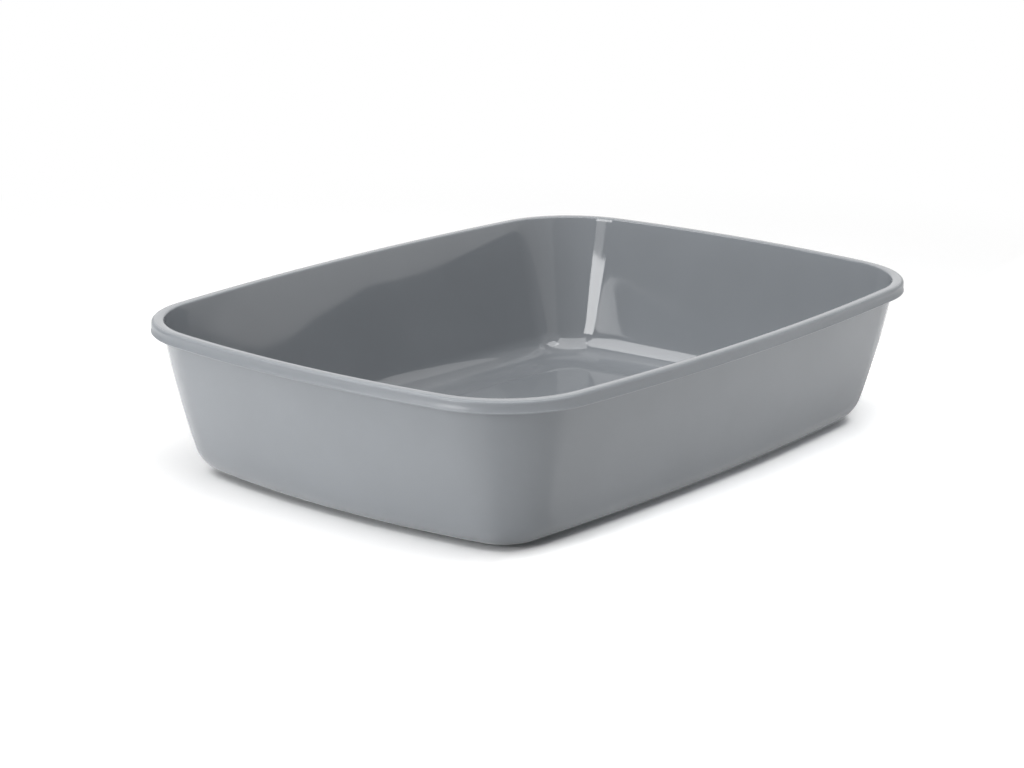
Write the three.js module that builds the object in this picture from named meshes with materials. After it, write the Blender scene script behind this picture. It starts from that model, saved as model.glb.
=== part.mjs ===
import * as THREE from 'three';

// Litter tray: an open pan moulded in one piece from polypropylene.
// Four leaning walls, each bowed outwards, run into wide round corners and a rounded base.
// They carry a rolled rim: a crowned flange that turns down into a skirt, hollow underneath.
// The base stands on a band round its edge, and the panel inside that band is a little higher.
// Millimetres, +Z up, X along the length. The origin is the middle of the footprint.

// Rim
const LENGTH = 464;
const WIDTH = 338;
const HEIGHT = 98.5;
const RIM_END_BOW = 19; // how far the middle of a short end stands out past its corners
const RIM_SIDE_BOW = 16; // the same for a long side
const RIM_CORNER_RADIUS = 67.5;
const RIM_THICKNESS = 1.5;
const RIM_EDGE_RADIUS = 3; // outer top edge, where the flange turns down
const RIM_INNER_EDGE_RADIUS = 1;
const RIM_OUTER_SLOPE = THREE.MathUtils.degToRad(12); // how far the crowned top has turned down outside
const RIM_INNER_SLOPE = THREE.MathUtils.degToRad(10); // and inside
const SKIRT_HEIGHT = 7.6;
const SKIRT_THICKNESS = 1.5;
const SKIRT_OVERHANG = 6.9; // from the outside of the wall to the outside of the lip
const SKIRT_LIP = 0.35; // how far a fine lip stands out along the lower edge of the skirt
const SKIRT_LIP_RADIUS = 0.45;
const SKIRT_EDGE_RADIUS = 0.5; // lower edge of the skirt, on its inner side
const CHANNEL_FILLET = 0.5; // between the wall and the underside of the flange

// Walls
const WALL = 1.5;
const BASE_INSET = 24.7; // how far a wall comes in between the skirt and the ground
const WALL_BELLY = 1.4; // how far it stands out at half height, past a straight line
const BASE_END_BOW = 16.2;
const BASE_SIDE_BOW = 10.8;
const BASE_CORNER_RADIUS = 32.5;
const BASE_FILLET = 25.5; // outside radius between wall and base

// Base
const FLOOR = 1.7;
const FOOT_BAND = 9; // width of the flat band that the tray stands on, at the middle of a wall
const PANEL_LIFT = 1.4; // how far the panel inside the band is raised
const PANEL_STEP = 4; // width of the slope between band and panel
const PANEL_CORNER_RADIUS = 22;
const GATE_RADIUS = 2.5; // stub left where the plastic was let into the mould
const GATE_HEIGHT = 0.5;
const DIMPLE_RADIUS = 9; // shallow round dimple that keeps the stub off the ground
const DIMPLE_DEPTH = 0.7;

// Facets
const END_STEPS = 5;
const CORNER_STEPS = 12;
const SIDE_STEPS = 6;
const FILLET_STEPS = 6;
const WALL_STEPS = 5;
const EDGE_STEPS = 4;
const CROWN_STEPS = 4;
const STEP_STEPS = 4;
const SMALL_EDGE_STEPS = 2;
const INNER_EDGE_STEPS = 3;

const NECK_HEIGHT = HEIGHT - SKIRT_HEIGHT;
const FLANGE_UNDERSIDE = HEIGHT - RIM_THICKNESS;

// The slope of the wall where it meets the base fillet: a straight lean plus the belly's end slope.
const LEAN = Math.atan((BASE_INSET + 4 * WALL_BELLY) / NECK_HEIGHT);
const WALL_INSET = WALL / Math.cos(LEAN);

/** How far inside the rim's outline the wall's outer face is at height z. */
function wallInward(z) {
  const depth = 1 - z / NECK_HEIGHT;
  return SKIRT_OVERHANG + BASE_INSET * depth - WALL_BELLY * 4 * depth * (1 - depth);
}

// The crowned top is one arc, tangent to the round edges on both sides of the flange.
const crownStart = SKIRT_LIP + RIM_EDGE_RADIUS * (1 - Math.sin(RIM_OUTER_SLOPE));
const crownEnd = wallInward(HEIGHT) + WALL_INSET - RIM_INNER_EDGE_RADIUS * (1 - Math.sin(RIM_INNER_SLOPE));
const crownRadius = (crownEnd - crownStart) / (Math.sin(RIM_OUTER_SLOPE) + Math.sin(RIM_INNER_SLOPE));
const crestInset = crownStart + crownRadius * Math.sin(RIM_OUTER_SLOPE);
const outerDrop = (crownRadius - RIM_EDGE_RADIUS) * (1 - Math.cos(RIM_OUTER_SLOPE));
const innerDrop = (crownRadius - RIM_INNER_EDGE_RADIUS) * (1 - Math.cos(RIM_INNER_SLOPE));
const outerEdgeLevel = HEIGHT - outerDrop - RIM_EDGE_RADIUS;
const innerEdgeLevel = HEIGHT - innerDrop - RIM_INNER_EDGE_RADIUS;

// Plan outlines

const rimPlan = {
  halfX: LENGTH / 2,
  halfY: WIDTH / 2,
  endBow: RIM_END_BOW,
  sideBow: RIM_SIDE_BOW,
  corner: RIM_CORNER_RADIUS,
};

/** Plan of the wall's outer face at height z. */
function wallPlan(z) {
  const depth = 1 - z / NECK_HEIGHT;
  return {
    halfX: LENGTH / 2 - wallInward(z),
    halfY: WIDTH / 2 - wallInward(z),
    endBow: THREE.MathUtils.lerp(RIM_END_BOW, BASE_END_BOW, depth),
    sideBow: THREE.MathUtils.lerp(RIM_SIDE_BOW, BASE_SIDE_BOW, depth),
    corner: THREE.MathUtils.lerp(RIM_CORNER_RADIUS - SKIRT_OVERHANG, BASE_CORNER_RADIUS, depth),
  };
}

/** Radius of the arc that spans a chord of twice the half length and rises by the bow. */
function bowRadius(half, bow) {
  return (half * half + bow * bow) / (2 * bow);
}

/** Points of one arc, without its last point. */
function arcPoints(centre, radius, from, to, steps) {
  return Array.from({ length: steps }, (_, i) => {
    const angle = THREE.MathUtils.lerp(from, to, i / steps);
    return new THREE.Vector2(centre.x + radius * Math.cos(angle), centre.y + radius * Math.sin(angle));
  });
}

/**
 * One quarter of a plan, from the end on +X to the side on +Y: half an end, a corner and half a side.
 * The three arcs are tangent, and an inset moves all of them inwards about the same centres.
 */
function quarterOutline(plan, inset) {
  const endRadius = bowRadius(plan.halfY, plan.endBow);
  const sideRadius = bowRadius(plan.halfX, plan.sideBow);
  const endCentre = new THREE.Vector2(plan.halfX - endRadius, 0);
  const sideCentre = new THREE.Vector2(0, plan.halfY - sideRadius);

  // The corner's centre lies where circles round the other two centres cross.
  const toEnd = endRadius - plan.corner;
  const toSide = sideRadius - plan.corner;
  const between = endCentre.clone().sub(sideCentre);
  const apart = between.length();
  const along = (toSide * toSide - toEnd * toEnd + apart * apart) / (2 * apart);
  const across = Math.sqrt(toSide * toSide - along * along);
  const unit = between.divideScalar(apart);
  const cornerCentre = sideCentre.clone().addScaledVector(unit, along);
  cornerCentre.addScaledVector(new THREE.Vector2(unit.y, -unit.x), across);

  const endAngle = cornerCentre.clone().sub(endCentre).angle();
  const sideAngle = cornerCentre.clone().sub(sideCentre).angle();
  return [
    ...arcPoints(endCentre, endRadius - inset, 0, endAngle, END_STEPS),
    ...arcPoints(cornerCentre, plan.corner - inset, endAngle, sideAngle, CORNER_STEPS),
    ...arcPoints(sideCentre, sideRadius - inset, sideAngle, Math.PI / 2, SIDE_STEPS),
    new THREE.Vector2(0, plan.halfY - inset),
  ];
}

/** A closed ring of points at height z, anticlockwise from above, with the quarter mirrored round. */
function ring(plan, inset, z) {
  const quarter = quarterOutline(plan, inset);
  const ends = quarter.length - 1;
  const half = [...quarter, ...quarter.slice(0, ends).reverse().map((p) => new THREE.Vector2(-p.x, p.y))];
  const rest = half.slice(1, -1).reverse().map((p) => new THREE.Vector2(p.x, -p.y));
  return [...half, ...rest].map((p) => new THREE.Vector3(p.x, p.y, z));
}

const wallRing = (z, inset) => ring(wallPlan(z), inset, z);
const rimRing = (z, inset) => ring(rimPlan, inset, z);

/** A round ring with a point in line with each point of the plan rings. */
function roundRing(z, radius) {
  return wallRing(z, 0).map((p) => new THREE.Vector3(p.x, p.y, 0).setLength(radius).setZ(z));
}

// Section, in runs of rings

/** Angles from one to the other in equal steps, both ends included. */
function sweep(from, to, steps) {
  return Array.from({ length: steps + 1 }, (_, i) => THREE.MathUtils.lerp(from, to, i / steps));
}

/** How far inside the foot of a wall face its base fillet ends. */
function filletReach(radius) {
  return radius * Math.cos(LEAN) - radius * (1 - Math.sin(LEAN)) * Math.tan(LEAN);
}

/** Base fillet from a level floor up to the leaning wall face that has this inset. */
function baseFillet(radius, faceInset, floor) {
  return sweep(Math.PI / 2, LEAN, FILLET_STEPS).map((angle) => {
    const rise = radius * (1 - Math.sin(angle));
    const inside = filletReach(radius) - radius * Math.cos(angle) + rise * Math.tan(LEAN);
    return wallRing(floor + rise, faceInset + inside);
  });
}

/** Wall rings strictly between two heights. */
function wallFace(fromZ, toZ, inset) {
  return sweep(fromZ, toZ, WALL_STEPS).slice(1, -1).map((z) => wallRing(z, inset));
}

const outerFilletEnd = filletReach(BASE_FILLET);
const innerFilletRadius = BASE_FILLET - WALL;
const outerFilletTop = BASE_FILLET * (1 - Math.sin(LEAN));
const innerFilletTop = FLOOR + innerFilletRadius * (1 - Math.sin(LEAN));
const groundPlan = wallPlan(0);

/** Plan of the line where the foot band ends and the slope up to the panel begins. */
const panelPlan = {
  ...groundPlan,
  halfX: groundPlan.halfX - outerFilletEnd - FOOT_BAND,
  halfY: groundPlan.halfY - outerFilletEnd - FOOT_BAND,
  corner: PANEL_CORNER_RADIUS,
};

/** The slope from the foot band up to the raised panel, as a smooth double bend, band first. */
function panelSlope(bandLevel) {
  return sweep(0, Math.PI, STEP_STEPS).map((angle) => {
    const level = bandLevel + (PANEL_LIFT * (1 - Math.cos(angle))) / 2;
    return ring(panelPlan, (PANEL_STEP * angle) / Math.PI, level);
  });
}

/** Underside of the base, from the gate stub in the middle out to the foot band. */
function underside() {
  const dimpleLevel = PANEL_LIFT + DIMPLE_DEPTH;
  return [
    roundRing(dimpleLevel - GATE_HEIGHT, GATE_RADIUS),
    roundRing(dimpleLevel, GATE_RADIUS),
    roundRing(dimpleLevel, DIMPLE_RADIUS - DIMPLE_DEPTH),
    roundRing(PANEL_LIFT, DIMPLE_RADIUS),
    ...panelSlope(0).reverse(),
  ];
}

/** Hollow side of the rim: up the neck, along under the flange and down inside the skirt. */
function channel() {
  const hollow = RIM_EDGE_RADIUS - SKIRT_THICKNESS;
  const neck = sweep(0, Math.PI / 2, SMALL_EDGE_STEPS).map((angle) =>
    wallRing(FLANGE_UNDERSIDE - CHANNEL_FILLET * (1 - Math.sin(angle)),
      -CHANNEL_FILLET * (1 - Math.cos(angle))));
  const turn = sweep(Math.PI / 2, 0, EDGE_STEPS).map((angle) =>
    rimRing(FLANGE_UNDERSIDE - outerDrop - hollow * (1 - Math.sin(angle)),
      SKIRT_LIP + RIM_EDGE_RADIUS - hollow * Math.cos(angle)));
  return [...neck, ...turn];
}

/** Lower edge of the skirt, which ends outside in a fine round lip. */
function skirtEdge() {
  const lipTop = Math.acos(1 - SKIRT_LIP / SKIRT_LIP_RADIUS);
  const inner = sweep(0, Math.PI / 2, SMALL_EDGE_STEPS).map((angle) =>
    rimRing(NECK_HEIGHT + SKIRT_EDGE_RADIUS * (1 - Math.sin(angle)),
      SKIRT_LIP + SKIRT_THICKNESS - SKIRT_EDGE_RADIUS * (1 - Math.cos(angle))));
  const lip = sweep(-Math.PI / 2, lipTop, EDGE_STEPS).map((angle) =>
    rimRing(NECK_HEIGHT + SKIRT_LIP_RADIUS * (1 + Math.sin(angle)),
      SKIRT_LIP_RADIUS * (1 - Math.cos(angle))));
  return [...inner, ...lip];
}

/** Top of the rim: the round outer edge, the crowned flange and the round inner edge. */
function rimTop() {
  const outer = sweep(0, Math.PI / 2 - RIM_OUTER_SLOPE, EDGE_STEPS).map((angle) =>
    rimRing(outerEdgeLevel + RIM_EDGE_RADIUS * Math.sin(angle),
      SKIRT_LIP + RIM_EDGE_RADIUS * (1 - Math.cos(angle))));
  const crown = sweep(RIM_OUTER_SLOPE, -RIM_INNER_SLOPE, CROWN_STEPS).slice(1, -1).map((angle) =>
    rimRing(HEIGHT - crownRadius * (1 - Math.cos(angle)), crestInset - crownRadius * Math.sin(angle)));
  const inner = sweep(Math.PI / 2 - RIM_INNER_SLOPE, 0, INNER_EDGE_STEPS).map((angle) =>
    wallRing(innerEdgeLevel + RIM_INNER_EDGE_RADIUS * Math.sin(angle),
      WALL_INSET - RIM_INNER_EDGE_RADIUS * (1 - Math.cos(angle))));
  return [...outer, ...crown, ...inner];
}

/** All rings of the moulding's skin, from the middle underneath to the middle of the floor. */
function skinRings() {
  return [
    ...underside(),
    ...baseFillet(BASE_FILLET, 0, 0),
    ...wallFace(outerFilletTop, FLANGE_UNDERSIDE - CHANNEL_FILLET, 0),
    ...channel(),
    ...skirtEdge(),
    ...rimTop(),
    ...wallFace(innerEdgeLevel, innerFilletTop, WALL_INSET),
    ...baseFillet(innerFilletRadius, WALL_INSET, FLOOR).reverse(),
    ...panelSlope(FLOOR),
  ];
}

/** A closed skin over the rings, with a fan to a middle point at each end. */
function skinGeometry(rings) {
  const count = rings[0].length;
  const first = new THREE.Vector3(0, 0, rings[0][0].z);
  const last = new THREE.Vector3(0, 0, rings.at(-1)[0].z);
  const points = [first, ...rings.flat(), last];
  const at = (level, i) => 1 + level * count + (i % count);
  const lastPoint = points.length - 1;
  const index = [];
  for (let i = 0; i < count; i += 1) {
    index.push(0, at(0, i + 1), at(0, i));
    index.push(lastPoint, at(rings.length - 1, i), at(rings.length - 1, i + 1));
    for (let level = 0; level < rings.length - 1; level += 1) {
      index.push(at(level, i), at(level, i + 1), at(level + 1, i));
      index.push(at(level, i + 1), at(level + 1, i + 1), at(level + 1, i));
    }
  }
  const geometry = new THREE.BufferGeometry().setFromPoints(points);
  geometry.setIndex(index);
  geometry.computeVertexNormals();
  return geometry;
}

function makeTray() {
  const plastic = new THREE.MeshStandardMaterial({ color: 0x858b92, roughness: 0.3, metalness: 0 });
  const tray = new THREE.Mesh(skinGeometry(skinRings()), plastic);
  tray.name = 'tray';
  return tray;
}

const litterTray = new THREE.Group();
litterTray.name = 'litter_tray';
litterTray.add(makeTray());

export default litterTray;
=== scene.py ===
import math

import bpy
from mathutils import Matrix, Vector


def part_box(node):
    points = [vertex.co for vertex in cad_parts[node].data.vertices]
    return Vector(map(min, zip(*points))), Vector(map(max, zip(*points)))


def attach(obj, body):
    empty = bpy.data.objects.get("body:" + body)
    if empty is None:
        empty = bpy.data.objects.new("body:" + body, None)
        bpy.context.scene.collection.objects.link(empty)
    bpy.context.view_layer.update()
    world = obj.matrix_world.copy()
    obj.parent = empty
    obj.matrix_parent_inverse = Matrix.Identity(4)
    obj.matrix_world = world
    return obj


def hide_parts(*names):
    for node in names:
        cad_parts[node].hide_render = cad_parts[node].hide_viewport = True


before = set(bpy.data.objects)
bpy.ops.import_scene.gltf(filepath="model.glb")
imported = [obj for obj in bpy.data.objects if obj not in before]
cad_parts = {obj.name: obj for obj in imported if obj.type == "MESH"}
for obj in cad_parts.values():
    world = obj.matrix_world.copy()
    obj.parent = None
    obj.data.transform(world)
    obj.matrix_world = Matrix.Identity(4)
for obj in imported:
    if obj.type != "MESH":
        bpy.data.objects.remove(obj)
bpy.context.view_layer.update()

MM = 0.001

# Sizes of the moulding in metres. The rim's outer round is finer than the solid's.
LOW, HIGH = (Vector(corner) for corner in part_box("tray"))
LENGTH, WIDTH, HEIGHT = HIGH - LOW
RIM_END_BOW = 19 * MM
RIM_SIDE_BOW = 16 * MM
RIM_CORNER_RADIUS = 67.5 * MM
RIM_THICKNESS = 1.5 * MM
RIM_EDGE_RADIUS = 2 * MM
RIM_INNER_EDGE_RADIUS = 1 * MM
RIM_OUTER_SLOPE = math.radians(12)
RIM_INNER_SLOPE = math.radians(10)
SKIRT_HEIGHT = 7.6 * MM
SKIRT_THICKNESS = 1.5 * MM
SKIRT_LIP = 0.35 * MM
SKIRT_LIP_RADIUS = 0.45 * MM
SKIRT_OVERHANG = 6.9 * MM
SKIRT_EDGE_RADIUS = 0.5 * MM
CHANNEL_FILLET = 0.5 * MM
WALL = 1.5 * MM
BASE_INSET = 24.7 * MM
WALL_BELLY = 1.4 * MM
BASE_END_BOW = 16.2 * MM
BASE_SIDE_BOW = 10.8 * MM
BASE_CORNER_RADIUS = 32.5 * MM
BASE_FILLET = 25.5 * MM
FLOOR = 1.7 * MM
FOOT_BAND = 9 * MM
PANEL_LIFT = 1.4 * MM
PANEL_STEP = 4 * MM
PANEL_CORNER_RADIUS = 22 * MM
GATE_RADIUS = 2.5 * MM
GATE_HEIGHT = 0.5 * MM
GATE_ROUND = 0.2
GATE_FOOT_FLARE = 1.05
DIMPLE_RADIUS = 9 * MM
DIMPLE_DEPTH = 0.7 * MM

# Warp of the walls as moulded: place on the rim's outline and reach in mm, extra lean in degrees
WALL_WARPS = (
    (-88, 168, 55, 1.1),
    (13, 168, 19, -0.42),
    (113, 168, 48, 0.6),
    (231, 97, 23, -0.62),
    (231, 11, 80, -0.45),
    (-231, -50, 60, 0.35),
    (-231, 80, 45, -0.3),
    (70, -168, 75, -0.35),
    (-110, -168, 50, 0.3),
)
WARP_PIVOT = 90 * MM
WARP_START = 25 * MM
WARP_FOOT = 3 * MM

# Fineness of the mesh
END_STEPS = 26
CORNER_STEPS = 36
SIDE_STEPS = 36
FILLET_STEPS = 20
WALL_STEPS = 26
EDGE_STEPS = 8
SMALL_EDGE_STEPS = 5
FLOOR_STEPS = 22
LAST_FLOOR_RING = 0.04

# Finish of the plastic. Noise scales are per metre.
GREY = (0.187, 0.200, 0.2145)
PLASTIC_IOR = 1.49
TINT_SPREAD = 0.03
NOISE_LOW = 0.3
NOISE_HIGH = 0.7
CLOUD_SCALE = 14
CLOUD_DETAIL = 3
SMEAR_SCALE = 40
SMEAR_DETAIL = 4
GRAIN_SCALE = 900
GRAIN_DETAIL = 2
GRAIN_DEPTH = 0.2 * MM
GRAIN_STRENGTH = 0.15
SATIN_ROUGHNESS = 0.22
RIM_ROUGHNESS = 0.34
SATIN_SPREAD = 0.04
GLOSS_ROUGHNESS = 0.05
GLOSS_SPREAD = 0.01
WAVE_SCALE = 22
WAVE_DETAIL = 1
WAVE_DEPTH = 0.12 * MM
FLOW_SCALE = 30
FLOW_DETAIL = 1
FLOW_DISTORTION = 1
FLOW_START = 3.2 * MM
FLOW_END = 7 * MM
FLOW_DEPTH = 0.1 * MM

# World: a bright horizon for diffuse light, a dim side and a shaded half for mirrors
HORIZON_LEVEL = 3.4
HORIZON_START = 0.02
HORIZON_END = 0.2
DIM_SIDE_AZIMUTH = 130
DIM_SIDE_ELEVATION = 5
DIM_SIDE_EDGE_START = 0.64
DIM_SIDE_EDGE_END = 0.7
DIM_SIDE_SHARE = 0.4
SHADED_AZIMUTH = 171.5
SHADED_EDGE_START = 0.18
SHADED_EDGE_END = 0.27
FRONT_LEVEL = 0.45
BACKDROP_LEVEL = 1

# Floor
FLOOR_SIZE = 8
FLOOR_WHITE = 0.95
# Painted light: a strip of floor at the right that the camera sees lighter, lifting the tray's
# shadow there
PAINTED_LIGHT_FLOOR = 1.85
PAINTED_LIGHT_AZIMUTH = 280
PAINTED_LIGHT_START = 0.085
PAINTED_LIGHT_END = 0.135
# Painted shade: a front sector of floor that is darker to all rays but the camera's, which
# darkens the tray's reflections and bounce light
PAINTED_SHADE_FLOOR = 0.62
PAINTED_SHADE_AZIMUTH = 242
PAINTED_SHADE_APEX = Vector((-0.15, -0.1, 0))
PAINTED_SHADE_EDGE_START = 0.68
PAINTED_SHADE_EDGE_END = 0.86
# Painted contact shadow: the camera sees the floor darker where the tray is close by
CONTACT_REACH = 0.005
CONTACT_SAMPLES = 4
CONTACT_SHADE = 0.6
CONTACT_OPEN = 0.9
FLOOR_GLOW = 0.18
FLOOR_MIRRORED = 1
FLOOR_NEAR = 0.4
FLOOR_FAR = 0.9

# Softboxes: compass and height angle in degrees, distance, width and height in metres, radiance
SOFTBOXES = {
    "key_softbox": (178.5, 20.3, 2.2, 0.82, 0.674, 9.5),
    "key_spill": (182, 9.5, 2.2, 0.5, 0.15, 2),
    "rim_softbox": (38, 24, 2.5, 2.5, 1.2, 0.5),
    "side_softbox": (142, 46, 2.2, 0.95, 1.1, 5.5),
    "overhead_softbox": (212, 68, 1.7, 1.65, 1.35, 3.6),
    "front_softbox": (279, 56, 1.7, 0.6, 0.5, 5),
    "back_softbox": (45, 49, 2.2, 1.2, 1, 1.3),
    "right_softbox": (322, 26, 2.6, 0.85, 1.2, 0.9),
    "low_softbox": (310, 6, 2.6, 0.8, 0.45, 0.42),
}
FAR_CORNER = Vector((0.2, 0.13, 0.05))

# Camera, fitted to the outline of the tray in the photograph
CAMERA_AZIMUTH = -0.8983
CAMERA_ELEVATION = 0.2695
CAMERA_ROLL = 0.0121
CAMERA_DISTANCE = 1.6159
CAMERA_TARGET = Vector((-0.1304, -0.0812, 0.0818))
SENSOR_WIDTH = 36
LENS = 97.18


# Wall and rim, worked out from the sizes

NECK_HEIGHT = HEIGHT - SKIRT_HEIGHT


def depth_share(z):
    """How far down the wall height z is: 0 at the skirt's edge and 1 on the ground."""
    return 1 - z / NECK_HEIGHT


def wall_inward(z):
    """How far inside the rim's outline the wall's outer face is at height z."""
    depth = depth_share(z)
    return SKIRT_OVERHANG + BASE_INSET * depth - WALL_BELLY * 4 * depth * (1 - depth)


LEAN = math.atan((BASE_INSET + 4 * WALL_BELLY) / NECK_HEIGHT)
WALL_INSET = WALL / math.cos(LEAN)
FLANGE_WIDTH = wall_inward(HEIGHT) + WALL_INSET
CROWN_START = SKIRT_LIP + RIM_EDGE_RADIUS * (1 - math.sin(RIM_OUTER_SLOPE))
CROWN_END = FLANGE_WIDTH - RIM_INNER_EDGE_RADIUS * (1 - math.sin(RIM_INNER_SLOPE))
CROWN_RADIUS = (CROWN_END - CROWN_START) / (math.sin(RIM_OUTER_SLOPE) + math.sin(RIM_INNER_SLOPE))
CREST_INSET = CROWN_START + CROWN_RADIUS * math.sin(RIM_OUTER_SLOPE)
RIM_OUTER_DROP = (CROWN_RADIUS - RIM_EDGE_RADIUS) * (1 - math.cos(RIM_OUTER_SLOPE))
RIM_INNER_DROP = (CROWN_RADIUS - RIM_INNER_EDGE_RADIUS) * (1 - math.cos(RIM_INNER_SLOPE))
OUTER_EDGE_LEVEL = HEIGHT - RIM_OUTER_DROP - RIM_EDGE_RADIUS
INNER_EDGE_LEVEL = HEIGHT - RIM_INNER_DROP - RIM_INNER_EDGE_RADIUS
FLANGE_UNDERSIDE = HEIGHT - RIM_THICKNESS


# Plan outlines

def mix(a, b, share):
    return a + (b - a) * share


def sweep(start, end, steps):
    return [mix(start, end, i / steps) for i in range(steps + 1)]


def plan(half_x, half_y, end_bow, side_bow, corner):
    return dict(half_x=half_x, half_y=half_y, end_bow=end_bow, side_bow=side_bow, corner=corner)


RIM_PLAN = plan(LENGTH / 2, WIDTH / 2, RIM_END_BOW, RIM_SIDE_BOW, RIM_CORNER_RADIUS)


def wall_plan(z):
    """Plan of the wall's outer face at height z."""
    depth = depth_share(z)
    inward = wall_inward(z)
    return plan(
        LENGTH / 2 - inward,
        WIDTH / 2 - inward,
        mix(RIM_END_BOW, BASE_END_BOW, depth),
        mix(RIM_SIDE_BOW, BASE_SIDE_BOW, depth),
        mix(RIM_CORNER_RADIUS - SKIRT_OVERHANG, BASE_CORNER_RADIUS, depth),
    )


def bow_radius(half, bow):
    return (half * half + bow * bow) / (2 * bow)


def arc_points(centre, radius, start, end, steps):
    """Points along an arc, without its last one."""
    angles = sweep(start, end, steps)[:-1]
    return [centre + radius * Vector((math.cos(a), math.sin(a))) for a in angles]


def corner_circle_centre(end_centre, end_reach, side_centre, side_reach):
    """Where the corner's circle touches both bows: at these distances from their centres."""
    between = end_centre - side_centre
    apart = between.length
    along = (side_reach ** 2 - end_reach ** 2 + apart ** 2) / (2 * apart)
    across = math.sqrt(side_reach ** 2 - along ** 2)
    unit = between / apart
    return side_centre + unit * along + Vector((unit.y, -unit.x)) * across


def quarter_outline(p, inset):
    """Half an end, a corner and half a side, as three tangent arcs."""
    end_radius = bow_radius(p["half_y"], p["end_bow"])
    side_radius = bow_radius(p["half_x"], p["side_bow"])
    end_centre = Vector((p["half_x"] - end_radius, 0))
    side_centre = Vector((0, p["half_y"] - side_radius))
    corner_centre = corner_circle_centre(
        end_centre, end_radius - p["corner"], side_centre, side_radius - p["corner"]
    )
    from_end = corner_centre - end_centre
    from_side = corner_centre - side_centre
    end_angle = math.atan2(from_end.y, from_end.x)
    side_angle = math.atan2(from_side.y, from_side.x)
    return [
        *arc_points(end_centre, end_radius - inset, 0, end_angle, END_STEPS),
        *arc_points(corner_centre, p["corner"] - inset, end_angle, side_angle, CORNER_STEPS),
        *arc_points(side_centre, side_radius - inset, side_angle, math.pi / 2, SIDE_STEPS),
        Vector((0, p["half_y"] - inset)),
    ]


def ring(p, inset, z):
    """A closed ring of points at height z, anticlockwise from above."""
    quarter = quarter_outline(p, inset)
    half = quarter + [Vector((-q.x, q.y)) for q in reversed(quarter[:-1])]
    rest = [Vector((q.x, -q.y)) for q in reversed(half[1:-1])]
    return [Vector((q.x, q.y, z)) for q in half + rest]


def rim_ring(z, inset):
    return ring(RIM_PLAN, inset, z)


# Warp of the walls

def extra_lean(place):
    """How much more than the plain wall the moulding leans outward here, in degrees."""
    total = 0
    for x, y, reach, lean in WALL_WARPS:
        away = (place.x - x * MM) ** 2 + (place.y - y * MM) ** 2
        total += lean * math.exp(-away / (2 * (reach * MM) ** 2))
    return total


WARP_LEANS = [math.radians(extra_lean(q)) for q in rim_ring(0, 0)]


def smooth(value, start, end):
    share = min(max((value - start) / (end - start), 0), 1)
    return share * share * (3 - 2 * share)


def wall_ring(z, inset):
    """A ring of the wall, moved out or in where the moulding has warped."""
    outline = ring(wall_plan(z), inset, z)
    inner = ring(wall_plan(z), inset + MM, z)
    lever = (z - WARP_PIVOT) * smooth(z, WARP_FOOT, WARP_START)
    return [
        q + (q - r) / MM * lever * math.tan(lean)
        for q, r, lean in zip(outline, inner, WARP_LEANS)
    ]


# Base fillet and floor

def fillet_reach(radius):
    """How far inside the foot of a wall face its base fillet ends."""
    return radius * math.cos(LEAN) - radius * (1 - math.sin(LEAN)) * math.tan(LEAN)


def base_fillet(radius, face_inset, floor):
    """The round from the floor up to the wall, floor first."""
    rings = []
    for angle in sweep(math.pi / 2, LEAN, FILLET_STEPS):
        rise = radius * (1 - math.sin(angle))
        inside = fillet_reach(radius) - radius * math.cos(angle) + rise * math.tan(LEAN)
        rings.append(wall_ring(floor + rise, face_inset + inside))
    return rings


GROUND_PLAN = wall_plan(0)
INNER_FILLET_RADIUS = BASE_FILLET - WALL
OUTER_FILLET_TOP = BASE_FILLET * (1 - math.sin(LEAN))
INNER_FILLET_TOP = FLOOR + INNER_FILLET_RADIUS * (1 - math.sin(LEAN))
PANEL_INSET = fillet_reach(BASE_FILLET) + FOOT_BAND
PANEL_PLAN = plan(
    GROUND_PLAN["half_x"] - PANEL_INSET,
    GROUND_PLAN["half_y"] - PANEL_INSET,
    BASE_END_BOW,
    BASE_SIDE_BOW,
    PANEL_CORNER_RADIUS,
)


def panel_slope(band_level):
    """The double bend from the foot band up to the raised panel, band first."""
    rings = []
    for angle in sweep(0, math.pi, EDGE_STEPS):
        level = band_level + PANEL_LIFT * (1 - math.cos(angle)) / 2
        rings.append(ring(PANEL_PLAN, PANEL_STEP * angle / math.pi, level))
    return rings


def shrink(outline, share, z):
    return [Vector((q.x * share, q.y * share, z)) for q in outline]


def panel_field(level):
    """Rings over the flat panel, from its edge towards the middle."""
    edge = ring(PANEL_PLAN, PANEL_STEP, level)
    return [shrink(edge, share, level) for share in sweep(1, LAST_FLOOR_RING, FLOOR_STEPS)[1:]]


def round_ring(z, radius):
    """A round ring with a point in line with each point of the plan rings."""
    flat = [Vector((q.x, q.y, 0)).normalized() * radius for q in wall_ring(z, 0)]
    return [Vector((q.x, q.y, z)) for q in flat]


def underside():
    """The gate mark in its dimple, the panel's hollow and the slope to the foot band."""
    dimple_level = PANEL_LIFT + DIMPLE_DEPTH
    return [
        round_ring(dimple_level - GATE_HEIGHT, GATE_RADIUS * (1 - GATE_ROUND)),
        round_ring(dimple_level - GATE_HEIGHT * (1 - GATE_ROUND), GATE_RADIUS),
        round_ring(dimple_level, GATE_RADIUS * GATE_FOOT_FLARE),
        round_ring(dimple_level, DIMPLE_RADIUS - DIMPLE_DEPTH),
        round_ring(PANEL_LIFT, DIMPLE_RADIUS),
        *reversed(panel_slope(0)),
    ]


# Wall faces and rim

def wall_face(start, end, inset):
    return [wall_ring(z, inset) for z in sweep(start, end, WALL_STEPS)[1:-1]]


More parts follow.
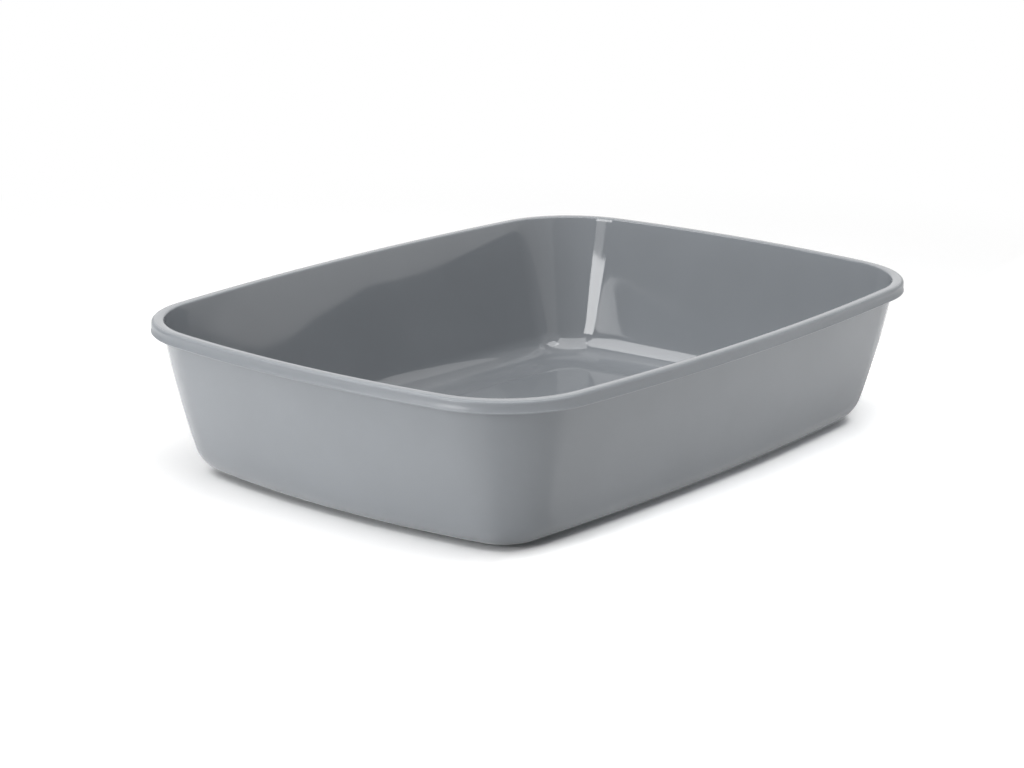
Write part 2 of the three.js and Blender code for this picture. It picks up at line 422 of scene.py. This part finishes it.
def channel():
    """Hollow side of the rim: up the neck, along under the flange and down inside the skirt."""
    neck = FLANGE_UNDERSIDE - CHANNEL_FILLET
    hollow = RIM_EDGE_RADIUS - SKIRT_THICKNESS
    skirt = FLANGE_UNDERSIDE - RIM_OUTER_DROP
    rings = []
    for angle in sweep(0, math.pi / 2, SMALL_EDGE_STEPS):
        drop = CHANNEL_FILLET * (1 - math.cos(angle))
        rings.append(wall_ring(neck + CHANNEL_FILLET * math.sin(angle), -drop))
    for angle in sweep(math.pi / 2, 0, EDGE_STEPS):
        inset = SKIRT_LIP + RIM_EDGE_RADIUS - hollow * math.cos(angle)
        rings.append(rim_ring(skirt - hollow * (1 - math.sin(angle)), inset))
    return rings


def skirt_edge():
    """Lower edge of the skirt, which ends outside in a fine round lip."""
    edge = NECK_HEIGHT + SKIRT_EDGE_RADIUS
    lip = NECK_HEIGHT + SKIRT_LIP_RADIUS
    lip_top = math.acos(1 - SKIRT_LIP / SKIRT_LIP_RADIUS)
    rings = []
    for angle in sweep(0, math.pi / 2, SMALL_EDGE_STEPS):
        inset = SKIRT_LIP + SKIRT_THICKNESS - SKIRT_EDGE_RADIUS * (1 - math.cos(angle))
        rings.append(rim_ring(edge - SKIRT_EDGE_RADIUS * math.sin(angle), inset))
    for angle in sweep(-math.pi / 2, lip_top, EDGE_STEPS):
        inset = SKIRT_LIP_RADIUS * (1 - math.cos(angle))
        rings.append(rim_ring(lip + SKIRT_LIP_RADIUS * math.sin(angle), inset))
    return rings


def rim_edge():
    """Round outer edge, from the skirt up to the flange."""
    rings = []
    for angle in sweep(0, math.pi / 2 - RIM_OUTER_SLOPE, EDGE_STEPS):
        inset = SKIRT_LIP + RIM_EDGE_RADIUS * (1 - math.cos(angle))
        rings.append(rim_ring(OUTER_EDGE_LEVEL + RIM_EDGE_RADIUS * math.sin(angle), inset))
    return rings


def rim_top():
    """The crowned top of the flange and the round inner edge."""
    rings = []
    for angle in sweep(RIM_OUTER_SLOPE, -RIM_INNER_SLOPE, EDGE_STEPS)[1:-1]:
        inset = CREST_INSET - CROWN_RADIUS * math.sin(angle)
        rings.append(rim_ring(HEIGHT - CROWN_RADIUS * (1 - math.cos(angle)), inset))
    for angle in sweep(math.pi / 2 - RIM_INNER_SLOPE, 0, EDGE_STEPS):
        inset = WALL_INSET - RIM_INNER_EDGE_RADIUS * (1 - math.cos(angle))
        rings.append(wall_ring(INNER_EDGE_LEVEL + RIM_INNER_EDGE_RADIUS * math.sin(angle), inset))
    return rings


# Skin

def skin_runs():
    """The whole skin in runs, one for each finish: the outside, the rim's edge and the inside."""
    outside = [
        *underside(),
        *base_fillet(BASE_FILLET, 0, 0),
        *wall_face(OUTER_FILLET_TOP, FLANGE_UNDERSIDE - CHANNEL_FILLET, 0),
        *channel(),
    ]
    edge = [
        *skirt_edge(),
        *rim_edge(),
    ]
    inside = [
        *rim_top(),
        *wall_face(INNER_EDGE_LEVEL, INNER_FILLET_TOP, WALL_INSET),
        *reversed(base_fillet(INNER_FILLET_RADIUS, WALL_INSET, FLOOR)),
        *panel_slope(FLOOR),
        *panel_field(FLOOR + PANEL_LIFT),
    ]
    return outside, edge, inside


def skin_points(rings):
    """A point in the middle of the first ring, all the rings and a point in the last one."""
    points = [Vector((0, 0, rings[0][0].z))]
    for level in rings:
        points.extend(level)
    points.append(Vector((0, 0, rings[-1][0].z)))
    return points


def skin_faces(finish, count):
    """Faces over the rings, each with the finish of its ring, and fans at both ends."""
    top = 1 + (len(finish) - 1) * count
    last = top + count
    faces = []
    slots = []
    for i in range(count):
        j = (i + 1) % count
        faces.append((0, 1 + j, 1 + i))
        faces.append((last, top + i, top + j))
        slots.extend((finish[0], finish[-1]))
    for level in range(len(finish) - 1):
        low = 1 + level * count
        high = low + count
        for i in range(count):
            j = (i + 1) % count
            faces.append((low + i, low + j, high + j, high + i))
            slots.append(finish[level + 1])
    return faces, slots


def skin_mesh(name, runs):
    """A closed skin over the rings. The faces of each run use the material of its place."""
    rings = [level for run in runs for level in run]
    finish = [place for place, run in enumerate(runs) for level in run]
    faces, slots = skin_faces(finish, len(rings[0]))
    mesh = bpy.data.meshes.new(name)
    mesh.from_pydata(skin_points(rings), [], faces)
    mesh.polygons.foreach_set("material_index", slots)
    mesh.shade_smooth()
    mesh.validate()
    return mesh


# Nodes

def node_tree(name):
    material = bpy.data.materials.new(name)
    material.use_nodes = True
    tree = material.node_tree
    tree.nodes.clear()
    return material, tree


def value_math(tree, operation, first, second):
    node = tree.nodes.new("ShaderNodeMath")
    node.operation = operation
    tree.links.new(first, node.inputs[0])
    tree.links.new(second, node.inputs[1])
    return node.outputs[0]


def maximum(tree, first, second):
    return value_math(tree, "MAXIMUM", first, second)


def multiply(tree, first, second):
    return value_math(tree, "MULTIPLY", first, second)


def vector_math(tree, operation, source, other=None):
    """A vector node on a socket and, where the operation needs it, a fixed vector."""
    node = tree.nodes.new("ShaderNodeVectorMath")
    node.operation = operation
    tree.links.new(source, node.inputs[0])
    if other is not None:
        node.inputs[1].default_value = other
    return node


def dot_with(tree, source, direction):
    """How far a vector socket points along a fixed direction."""
    return vector_math(tree, "DOT_PRODUCT", source, direction).outputs["Value"]


def height_of(tree, source):
    node = tree.nodes.new("ShaderNodeSeparateXYZ")
    tree.links.new(source, node.inputs[0])
    return node.outputs["Z"]


def scale_range(tree, source, start, end, low, high, kind="SMOOTHSTEP"):
    """The value low where the source is at start or before, and high at end or beyond."""
    node = tree.nodes.new("ShaderNodeMapRange")
    node.interpolation_type = kind
    for name, value in zip(("From Min", "From Max", "To Min", "To Max"), (start, end, low, high)):
        node.inputs[name].default_value = value
    tree.links.new(source, node.inputs["Value"])
    return node.outputs["Result"]


def blend_values(tree, factor, low, high):
    """A value between two others, either of which may be a number or a socket."""
    node = tree.nodes.new("ShaderNodeMix")
    tree.links.new(factor, node.inputs[0])
    for socket, value in ((node.inputs[2], low), (node.inputs[3], high)):
        if isinstance(value, (int, float)):
            socket.default_value = value
        else:
            tree.links.new(value, socket)
    return node.outputs[0]


def blend_colours(tree, factor, low, high):
    node = tree.nodes.new("ShaderNodeMix")
    node.data_type = "RGBA"
    node.inputs[6].default_value = (*low, 1)
    node.inputs[7].default_value = (*high, 1)
    tree.links.new(factor, node.inputs[0])
    return node.outputs[2]


def noise(tree, coords, scale, detail, distortion=0):
    node = tree.nodes.new("ShaderNodeTexNoise")
    node.inputs["Scale"].default_value = scale
    node.inputs["Detail"].default_value = detail
    node.inputs["Distortion"].default_value = distortion
    tree.links.new(coords, node.inputs["Vector"])
    return node.outputs["Fac"]


def from_noise(tree, source, low, high):
    """The middle part of a noise, which is most of it, stretched to a range."""
    return scale_range(tree, source, NOISE_LOW, NOISE_HIGH, low, high, "LINEAR")


def bump(tree, height, depth, strength, below=None):
    """A bump of this depth in metres, on top of another bump where there is one."""
    node = tree.nodes.new("ShaderNodeBump")
    node.inputs["Strength"].default_value = strength
    node.inputs["Distance"].default_value = depth
    tree.links.new(height, node.inputs["Height"])
    if below is not None:
        tree.links.new(below, node.inputs["Normal"])
    return node.outputs["Normal"]


# The tray

def flow_marks(tree, coords):
    """Swirls in the floor, where the plastic flowed from the gate. The walls have none."""
    swirl = noise(tree, coords, FLOW_SCALE, FLOW_DETAIL, FLOW_DISTORTION)
    share = scale_range(tree, height_of(tree, coords), FLOW_START, FLOW_END, 1, 0)
    return multiply(tree, swirl, share)


def moulded_normal(tree, coords, wavy):
    """The slight waves and swirls of a wavy face, or the fine grain of any other."""
    if wavy:
        waves = bump(tree, noise(tree, coords, WAVE_SCALE, WAVE_DETAIL), WAVE_DEPTH, 1)
        return bump(tree, flow_marks(tree, coords), FLOW_DEPTH, 1, waves)
    grain = noise(tree, coords, GRAIN_SCALE, GRAIN_DETAIL)
    return bump(tree, grain, GRAIN_DEPTH, GRAIN_STRENGTH)


def plastic(name, roughness, spread, wavy):
    """Moulded polypropylene with faint clouding of its colour and gloss."""
    material, tree = node_tree(name)
    coords = tree.nodes.new("ShaderNodeTexCoord").outputs["Object"]
    shader = tree.nodes.new("ShaderNodeBsdfPrincipled")
    shader.inputs["IOR"].default_value = PLASTIC_IOR

    dark = [c * (1 - TINT_SPREAD) for c in GREY]
    light = [c * (1 + TINT_SPREAD) for c in GREY]
    cloud = from_noise(tree, noise(tree, coords, CLOUD_SCALE, CLOUD_DETAIL), 0, 1)
    tree.links.new(blend_colours(tree, cloud, dark, light), shader.inputs["Base Color"])

    smear = noise(tree, coords, SMEAR_SCALE, SMEAR_DETAIL)
    gloss = from_noise(tree, smear, roughness - spread, roughness + spread)
    tree.links.new(gloss, shader.inputs["Roughness"])
    tree.links.new(moulded_normal(tree, coords, wavy), shader.inputs["Normal"])

    output = tree.nodes.new("ShaderNodeOutputMaterial")
    tree.links.new(shader.outputs["BSDF"], output.inputs["Surface"])
    return material


def make_tray():
    mesh = skin_mesh("tray_moulding", skin_runs())
    mesh.materials.append(plastic("plastic_satin", SATIN_ROUGHNESS, SATIN_SPREAD, wavy=False))
    mesh.materials.append(plastic("plastic_rim", RIM_ROUGHNESS, SATIN_SPREAD, wavy=False))
    mesh.materials.append(plastic("plastic_gloss", GLOSS_ROUGHNESS, GLOSS_SPREAD, wavy=True))
    tray = bpy.data.objects.new("tray_moulding", mesh)
    bpy.context.collection.objects.link(tray)
    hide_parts("tray")
    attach(tray, "root")


# Studio

def towards(azimuth, elevation):
    """A direction at this compass angle from +X and this height angle, in degrees."""
    a = math.radians(azimuth)
    e = math.radians(elevation)
    return Vector((math.cos(a) * math.cos(e), math.sin(a) * math.cos(e), math.sin(e)))


def mirrored_world(tree, direction):
    """What mirrors see: a plain level, lower towards the dim side and in the shaded half."""
    dim_side = towards(DIM_SIDE_AZIMUTH, DIM_SIDE_ELEVATION)
    side = scale_range(
        tree, dot_with(tree, direction, dim_side),
        DIM_SIDE_EDGE_START, DIM_SIDE_EDGE_END, 1, DIM_SIDE_SHARE,
    )
    backdrop = scale_range(
        tree, dot_with(tree, direction, towards(SHADED_AZIMUTH, 0)),
        SHADED_EDGE_START, SHADED_EDGE_END, BACKDROP_LEVEL, FRONT_LEVEL,
    )
    return multiply(tree, side, backdrop)


def make_world():
    """White to the camera, a bright horizon to diffuse light, and its own look in mirrors."""
    world = bpy.data.worlds.new("studio")
    bpy.context.scene.world = world
    world.use_nodes = True
    tree = world.node_tree
    tree.nodes.clear()
    path = tree.nodes.new("ShaderNodeLightPath")
    direction = tree.nodes.new("ShaderNodeTexCoord").outputs["Generated"]

    height = height_of(tree, direction)
    horizon = scale_range(tree, height, HORIZON_START, HORIZON_END, HORIZON_LEVEL, 0)
    mirrored = mirrored_world(tree, direction)
    unseen = blend_values(tree, path.outputs["Is Glossy Ray"], horizon, mirrored)
    seen = maximum(tree, path.outputs["Is Camera Ray"], path.outputs["Is Transmission Ray"])
    background = tree.nodes.new("ShaderNodeBackground")
    tree.links.new(blend_values(tree, seen, unseen, 1), background.inputs["Strength"])
    output = tree.nodes.new("ShaderNodeOutputWorld")
    tree.links.new(background.outputs["Background"], output.inputs["Surface"])


def floor_colour(tree, seen, place):
    """White. A strip at the right is painted lighter to the camera, a painted light that lifts
    the tray's shadow there. A front sector is painted darker to all other rays, a painted shade
    in the tray's reflections and bounce light. Near the tray the camera sees a painted contact
    shadow.
    """
    # Painted light: to the camera the floor is lighter in a strip at the right, over the tray's
    # shadow
    aside = dot_with(tree, place, towards(PAINTED_LIGHT_AZIMUTH, 0))
    painted_light_share = multiply(tree, scale_range(tree, aside, PAINTED_LIGHT_START, PAINTED_LIGHT_END, 0, 1), seen)
    white = blend_values(tree, painted_light_share, FLOOR_WHITE, PAINTED_LIGHT_FLOOR)

    # Painted shade: the floor is darker in a front sector to all rays but the camera's, for
    # darker reflections and bounce light on the tray
    heading = vector_math(tree, "SUBTRACT", place, PAINTED_SHADE_APEX).outputs["Vector"]
    heading = vector_math(tree, "NORMALIZE", heading).outputs["Vector"]
    ahead = dot_with(tree, heading, towards(PAINTED_SHADE_AZIMUTH, 0))
    painted_shade_factor = scale_range(tree, ahead, PAINTED_SHADE_EDGE_START, PAINTED_SHADE_EDGE_END, 1, PAINTED_SHADE_FLOOR)

    # Painted contact shadow: to the camera the floor is darkened where ambient occlusion finds
    # the tray within reach
    contact = tree.nodes.new("ShaderNodeAmbientOcclusion")
    contact.samples = CONTACT_SAMPLES
    contact.inputs["Distance"].default_value = CONTACT_REACH
    shade = scale_range(tree, contact.outputs["AO"], 0, CONTACT_OPEN, CONTACT_SHADE, 1)
    return multiply(tree, white, blend_values(tree, seen, painted_shade_factor, shade))


def near_floor(tree, seen, place):
    """The floor round the tray. It glows a little to all but the camera, like a lit table."""
    plain = tree.nodes.new("ShaderNodeBsdfDiffuse")
    tree.links.new(floor_colour(tree, seen, place), plain.inputs["Color"])
    glow = tree.nodes.new("ShaderNodeEmission")
    glow_level = scale_range(tree, seen, 0, 1, FLOOR_GLOW, 0)
    tree.links.new(glow_level, glow.inputs["Strength"])
    lit = tree.nodes.new("ShaderNodeAddShader")
    tree.links.new(plain.outputs["BSDF"], lit.inputs[0])
    tree.links.new(glow.outputs["Emission"], lit.inputs[1])
    return lit.outputs["Shader"]


def floor_material():
    """The near floor, which turns into plain white for the camera and mirrors further out."""
    material, tree = node_tree("floor_white")
    path = tree.nodes.new("ShaderNodeLightPath")
    seen = path.outputs["Is Camera Ray"]
    place = tree.nodes.new("ShaderNodeTexCoord").outputs["Object"]
    far = tree.nodes.new("ShaderNodeEmission")
    far.inputs["Strength"].default_value = FLOOR_MIRRORED
    reach = vector_math(tree, "LENGTH", place).outputs["Value"]
    distance = scale_range(tree, reach, FLOOR_NEAR, FLOOR_FAR, 0, 1)
    shown = maximum(tree, seen, path.outputs["Is Glossy Ray"])
    floor_mix = tree.nodes.new("ShaderNodeMixShader")
    tree.links.new(multiply(tree, distance, shown), floor_mix.inputs[0])
    tree.links.new(near_floor(tree, seen, place), floor_mix.inputs[1])
    tree.links.new(far.outputs["Emission"], floor_mix.inputs[2])
    output = tree.nodes.new("ShaderNodeOutputMaterial")
    tree.links.new(floor_mix.outputs["Shader"], output.inputs["Surface"])
    return material


def make_floor():
    half = FLOOR_SIZE / 2
    corners = [(-half, -half, 0), (half, -half, 0), (half, half, 0), (-half, half, 0)]
    mesh = bpy.data.meshes.new("floor")
    mesh.from_pydata([Vector(corner) for corner in corners], [], [(0, 1, 2, 3)])
    mesh.materials.append(floor_material())
    floor = bpy.data.objects.new("floor", mesh)
    bpy.context.collection.objects.link(floor)


def make_softbox(name, azimuth, elevation, distance, width, height, radiance):
    """A flat soft light that faces the far corner of the basin from this direction."""
    light = bpy.data.lights.new(name, "AREA")
    light.shape = "RECTANGLE"
    light.size = width
    light.size_y = height
    light.energy = radiance * math.pi * width * height
    lamp = bpy.data.objects.new(name, light)
    lamp.visible_camera = False
    lamp.location = FAR_CORNER + towards(azimuth, elevation) * distance
    lamp.rotation_euler = (FAR_CORNER - lamp.location).to_track_quat("-Z", "Y").to_euler()
    bpy.context.collection.objects.link(lamp)


def make_camera():
    camera_data = bpy.data.cameras.new("camera")
    camera_data.sensor_width = SENSOR_WIDTH
    camera_data.lens = LENS
    camera = bpy.data.objects.new("camera", camera_data)
    bpy.context.collection.objects.link(camera)
    level = math.cos(CAMERA_ELEVATION)
    back = Vector((
        math.sin(CAMERA_AZIMUTH) * level,
        -math.cos(CAMERA_AZIMUTH) * level,
        math.sin(CAMERA_ELEVATION),
    ))
    right = Vector((0, 0, 1)).cross(back).normalized()
    up = back.cross(right)
    turned_right = right * math.cos(CAMERA_ROLL) + up * math.sin(CAMERA_ROLL)
    turned_up = up * math.cos(CAMERA_ROLL) - right * math.sin(CAMERA_ROLL)
    turn = Matrix((turned_right, turned_up, back)).transposed().to_4x4()
    camera.matrix_world = Matrix.Translation(CAMERA_TARGET + back * CAMERA_DISTANCE) @ turn
    bpy.context.scene.camera = camera


make_camera()
make_tray()
make_floor()
make_world()
for name, setting in SOFTBOXES.items():
    make_softbox(name, *setting)
bpy.context.scene.view_settings.view_transform = "Standard"
